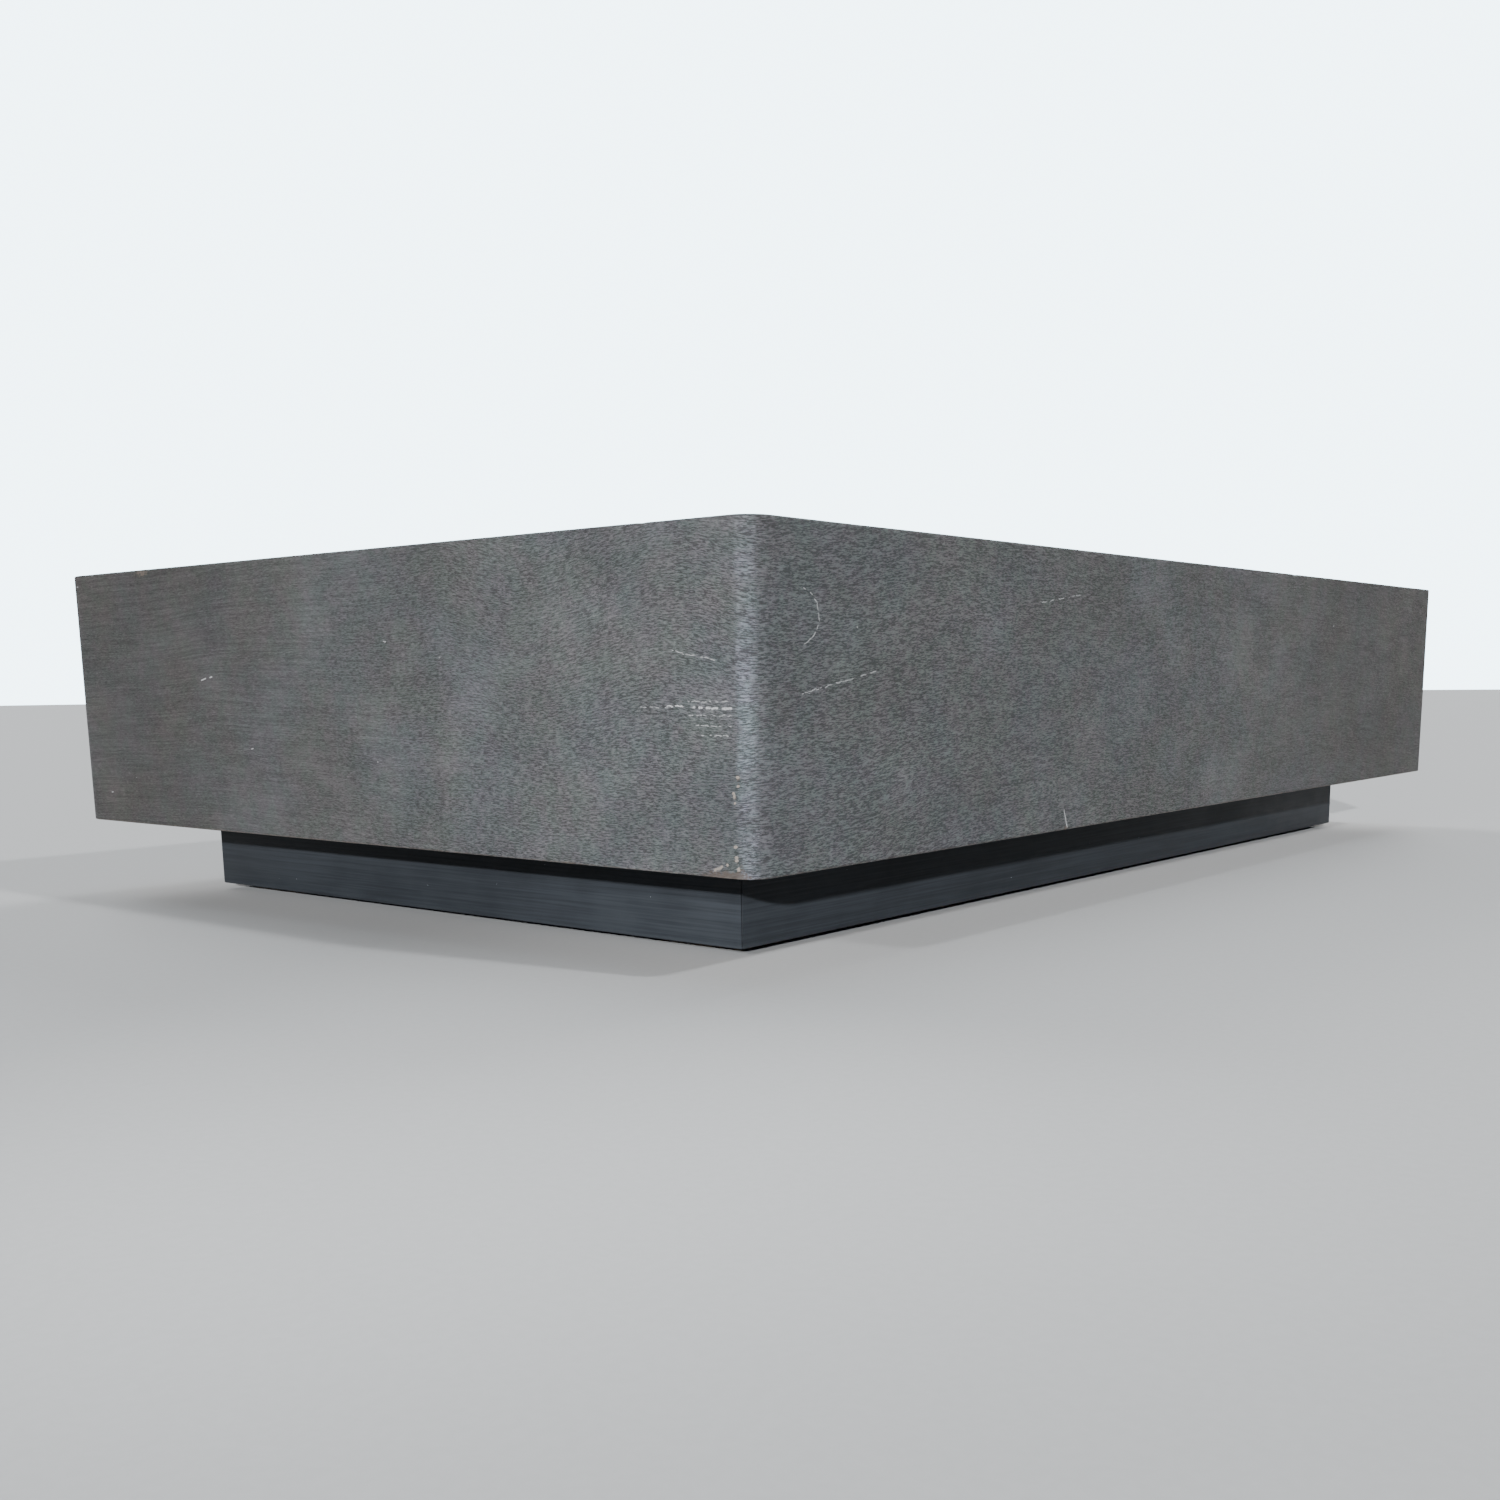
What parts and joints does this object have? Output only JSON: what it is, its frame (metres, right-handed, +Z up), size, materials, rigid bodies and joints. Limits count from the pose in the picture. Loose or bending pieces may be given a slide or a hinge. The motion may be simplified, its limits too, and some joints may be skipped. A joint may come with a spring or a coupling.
{
  "type": "block coffee table",
  "caption": "Low rectangular block coffee table with a grey stone-look textured coat over a hollow board carcass, standing on a recessed dark mitred plinth with hidden glides.",
  "frame": {"origin": "on the floor, under the middle of the table", "axes": "+X along the length, +Y across the width, +Z up; front is -Y and left is -X"},
  "size_m": [1.219, 0.762, 0.2705],
  "materials": {
    "stone_coat": "matt grey mineral coat, hand-worked in fine level ridges, rubbed paler on the upright corners",
    "fibreboard": "raw fibreboard",
    "softwood": "raw sawn softwood",
    "beech": "plain beech dowel",
    "plinth_paint": "satin dark blue-grey paint on board",
    "zinc_steel": "zinc-plated",
    "nylon": "black nylon"
  },
  "bodies": {
    "root": {"textured_coat": "stone_coat", "top_board": "fibreboard", "bottom_board": "fibreboard", "side_board_front": "fibreboard", "side_board_back": "fibreboard", "side_board_left": "fibreboard", "side_board_right": "fibreboard", "spine_rib": "fibreboard", "cross_rib_1": "fibreboard", "cross_rib_2": "fibreboard", "cross_rib_3": "fibreboard", "corner_post_front_left": "softwood", "corner_post_front_right": "softwood", "corner_post_back_left": "softwood", "corner_post_back_right": "softwood", "plinth_cross_rail_left": "softwood", "plinth_cross_rail_right": "softwood", "plinth_block_front_left": "softwood", "plinth_block_front_right": "softwood", "plinth_block_back_left": "softwood", "plinth_block_back_right": "softwood", "plinth_block_middle_front": "softwood", "plinth_block_middle_back": "softwood", "post_dowel_front_left": "beech", "post_dowel_front_right": "beech", "post_dowel_back_left": "beech", "post_dowel_back_right": "beech", "side_dowel_front": "beech", "side_dowel_back": "beech", "side_dowel_left": "beech", "side_dowel_right": "beech", "plinth_rail_front": "plinth_paint", "plinth_rail_right": "plinth_paint", "plinth_rail_back": "plinth_paint", "plinth_rail_left": "plinth_paint", "plinth_screw_front_left": "zinc_steel", "plinth_screw_front_right": "zinc_steel", "plinth_screw_back_left": "zinc_steel", "plinth_screw_back_right": "zinc_steel", "plinth_screw_middle_front": "zinc_steel", "plinth_screw_middle_back": "zinc_steel", "glide_screw_front_left": "zinc_steel", "glide_screw_front_right": "zinc_steel", "glide_screw_back_left": "zinc_steel", "glide_screw_back_right": "zinc_steel", "glide_screw_middle_front": "zinc_steel", "glide_screw_middle_back": "zinc_steel", "glide_front_left": "nylon", "glide_front_right": "nylon", "glide_back_left": "nylon", "glide_back_right": "nylon", "glide_middle_front": "nylon", "glide_middle_back": "nylon"}
  },
  "joints": []
}
